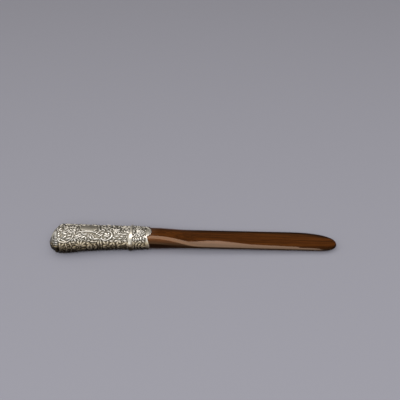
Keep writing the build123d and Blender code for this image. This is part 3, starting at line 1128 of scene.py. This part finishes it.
# Share of the way to the edges, which carries the painted shade of the wood.
blade_edge_shade = np.abs(blade_grid[..., 1] - blade_centre[:, None]) / blade_width[:, None]
blade_edge_shade = blade_edge_shade ** mix(3.0, 1.0, shoulder_blend(blade_x))[:, None]
blade = make_piece("wooden_blade", blade_points, blade_faces, polished_wood, "blade")
set_layer(blade, "edge", np.append(blade_edge_shade.ravel(), [0.0, 1.0]))

# %% [markdown]
# ## Pitch filling
# The hollow handle is filled with pitch, which stiffens the thin sheet and grips the tang. It can't be
# seen, but the model keeps it, with the hole that the tang sits in: the rows run from the butt to the neck,
# across the flat end and back down the hole.

# %% Pitch finish
# It gives the eye a dull brown-black mass with a faint grain.
grit_size = 1.5
pitch, tree = new_finish("cast_pitch")
place = add_node(tree, "TexCoord").outputs["Object"]
grit = add_node(tree, "TexNoise", {"Scale": 1000 / grit_size, "Detail": 3.0, "Vector": place})
tone = add_node(tree, "ValToRGB", {"Fac": grit.outputs["Fac"]})
set_stops(tone, [(0.3, "#1A1510"), (0.7, "#2B241C")])
mass = add_node(tree, "BsdfPrincipled", {"Roughness": 0.7, "Base Color": tone.outputs["Color"]})
add_node(tree, "OutputMaterial", {"Surface": mass.outputs["BSDF"]})
print(pitch.name, "has", len(tree.nodes), "nodes")

# %% Build the filling
core_clearance = 0.1
core_inset = inner_inset + core_clearance
core_columns = 96
core_x = core_inset + (handle_length - core_inset) * (1.0 - np.cos(np.linspace(0.0, math.pi / 2.0, 61)[1:]))
core_centre, core_width, core_thickness = handle_section(core_x, core_inset)
hole_x = np.array([handle_length, handle_length - tang_length])
core_grid = oval(
    np.concatenate([core_x, hole_x])[:, None], np.concatenate([core_centre, [0.0, 0.0]])[:, None],
    np.concatenate([core_width, [tang_root[0], tang_end[0]]])[:, None],
    np.concatenate([core_thickness, [tang_root[1], tang_end[1]]])[:, None],
    np.linspace(0.0, 2.0 * math.pi, core_columns, endpoint=False)[None, :],
    np.concatenate([np.full(len(core_x), silver_fullness), [wood_fullness, wood_fullness]])[:, None],
)
core_points, core_faces = capped(
    core_grid, [core_inset, -butt_apex_offset, 0.0], [hole_x[1], 0.0, 0.0],
)
make_piece("pitch_filling", core_points, core_faces, pitch, "pitch_core")

# %% [markdown]
# ## Floor
# A plain pale floor carries the opener and takes its shadow. It is a matt paper grey, a little cool, so
# that the warm silver and the brown wood stand off it.


# %% Build the floor
def make_stage(name, corners, finish):
    """Flat sheet of the studio through some corners, which isn't part of the opener."""
    mesh = bpy.data.meshes.new(name)
    mesh.from_pydata(corners.tolist(), [], [tuple(range(len(corners)))])
    mesh.materials.append(finish)
    sheet = bpy.data.objects.new(name, mesh)
    scene.collection.objects.link(sheet)
    print(name, "with", len(corners), "corners")
    return sheet


# It gives the eye an even ground that takes the shadow and has no shine of its own.
paper, tree = new_finish("matt_pale_paper")
matt = add_node(tree, "BsdfPrincipled", {
    "Base Color": linear("#A2A2AE"), "Roughness": 0.95, "Specular IOR Level": 0.0,
})
add_node(tree, "OutputMaterial", {"Surface": matt.outputs["BSDF"]})
floor_half = 30.0
make_stage("floor", floor_half * np.array([[-1, -1, 0], [1, -1, 0], [1, 1, 0], [-1, 1, 0]]), paper)

# %% [markdown]
# ## Light
# Silver and polish show what stands round them, so the light is laid out as a photographer lays it out for
# a table top. A long soft box hangs above the opener, behind it, and is there for the shine alone. A lit
# card stands close behind the blade and widens the band of light on its polish. A large soft box in front
# lights the matt surfaces. The walls are pale in front and far at the left, dimmer in front at the right,
# so that the polish keeps its depth there, and darker behind, which gives the silver its greys.


# %% Soft boxes
def soft_box(name, size, centre, aim, radiance, colour, shine):
    """Rectangular lamp at a centre, turned to an aim. Its power is pi times its radiance and its area. It
    is either for shine, seen only in reflections, or for the matt surfaces only."""
    lamp = bpy.data.lights.new(name, "AREA")
    lamp.shape = "RECTANGLE"
    lamp.size, lamp.size_y = size
    lamp.energy = math.pi * radiance * size[0] * size[1]
    lamp.color = linear(colour)[:3]
    holder = bpy.data.objects.new(name, lamp)
    holder.location = centre
    way = Vector(aim) - Vector(centre)
    holder.rotation_mode = "QUATERNION"
    holder.rotation_quaternion = way.to_track_quat("-Z", "Y")
    holder.visible_diffuse = not shine
    holder.visible_glossy = shine
    scene.collection.objects.link(holder)
    print(name, "of", round(lamp.energy, 1), "W")


lamp_radiance, lamp_colour = 2.5, "#FFF6EC"
fill_radiance, fill_colour = 7.4, "#FFFFFF"
soft_box("top_box", (1.2, 0.72), (-0.1, 0.8, 1.2), (-0.1, 0.8, 0.0), lamp_radiance, lamp_colour, True)
soft_box("front_fill", (3.4, 1.7), (0.0, -3.4, 2.3), (0.0, 0.0, 0.0), fill_radiance, fill_colour, False)

# %% Lit card
# It gives the eye nothing but its reflection in the polish.
glowing, tree = new_finish("lit_card")
card_light = add_node(tree, "Emission", {"Color": linear(lamp_colour), "Strength": 0.92 * lamp_radiance})
add_node(tree, "OutputMaterial", {"Surface": card_light.outputs["Emission"]})
card_y = 80
card_outline = [(11, 125), (12, 95), (15, 78), (20, 74), (38, 72), (60, 79), (82, 87), (150, 91), (150, 125)]
card = make_stage("blade_card", np.insert(np.array(card_outline), 1, card_y, axis=1) * 0.001, glowing)
card.visible_camera = False
card.visible_diffuse = False
card.visible_shadow = False

# %% Walls
world = bpy.data.worlds.new("studio")
scene.world = world
world.use_nodes = True
tree = world.node_tree
tree.nodes.clear()
way = add_node(tree, "TexCoord")
split = add_node(tree, "SeparateXYZ", {"Vector": way.outputs["Generated"]})
ceiling, horizon = "#CFCDC9", "#84828A"
wall_greys = {
    # pairs of the height of the way to a wall and its grey there
    "front": [(0.05, horizon), (0.1, "#9A907C"), (0.2, "#FAF7EE"), (0.62, "#FCFAF5"), (0.85, ceiling)],
    "dim": [(0.05, horizon), (0.12, "#7E786C"), (0.26, "#8C867A"), (0.62, "#9A9488"), (0.85, ceiling)],
    "far_left": [(0.05, horizon), (0.3, "#837F77"), (0.48, "#EEEBE2"), (0.75, "#E2DFD6"), (0.9, ceiling)],
    "left": [(0.05, horizon), (0.3, "#837F77"), (0.45, "#858077"), (0.7, "#B0ABA0"), (0.9, ceiling)],
    "right": [(0.05, horizon), (0.14, "#38352F"), (0.7, "#38352F"), (0.9, ceiling)],
}
wall_joins = [
    # joined walls, axis of the way, where the first wall ends and the second one starts on it, the two walls
    ("back", "X", -0.1, 0.02, "left", "right"),
    ("behind", "X", -0.62, -0.42, "far_left", "back"),
    ("before", "X", 0.02, 0.22, "front", "dim"),
    ("all_round", "Y", -0.25, 0.25, "before", "behind"),
]
walls = {}
for name, greys in wall_greys.items():
    ramp = add_node(tree, "ValToRGB", {"Fac": split.outputs["Z"]})
    set_stops(ramp, greys)
    walls[name] = ramp.outputs["Color"]
for name, axis, start, end, first, second in wall_joins:
    share = add_node(
        tree, "MapRange", {"Value": split.outputs[axis], "From Min": start, "From Max": end},
        interpolation_type="SMOOTHSTEP",
    )
    joined = add_node(
        tree, "Mix", {0: share.outputs["Result"], 6: walls[first], 7: walls[second]}, data_type="RGBA",
    )
    walls[name] = joined.outputs[2]
glow = add_node(tree, "Background", {"Strength": 1.0, "Color": walls["all_round"]})
add_node(tree, "OutputWorld", {"Surface": glow.outputs["Background"]})
print(len(tree.nodes), "nodes in the world")
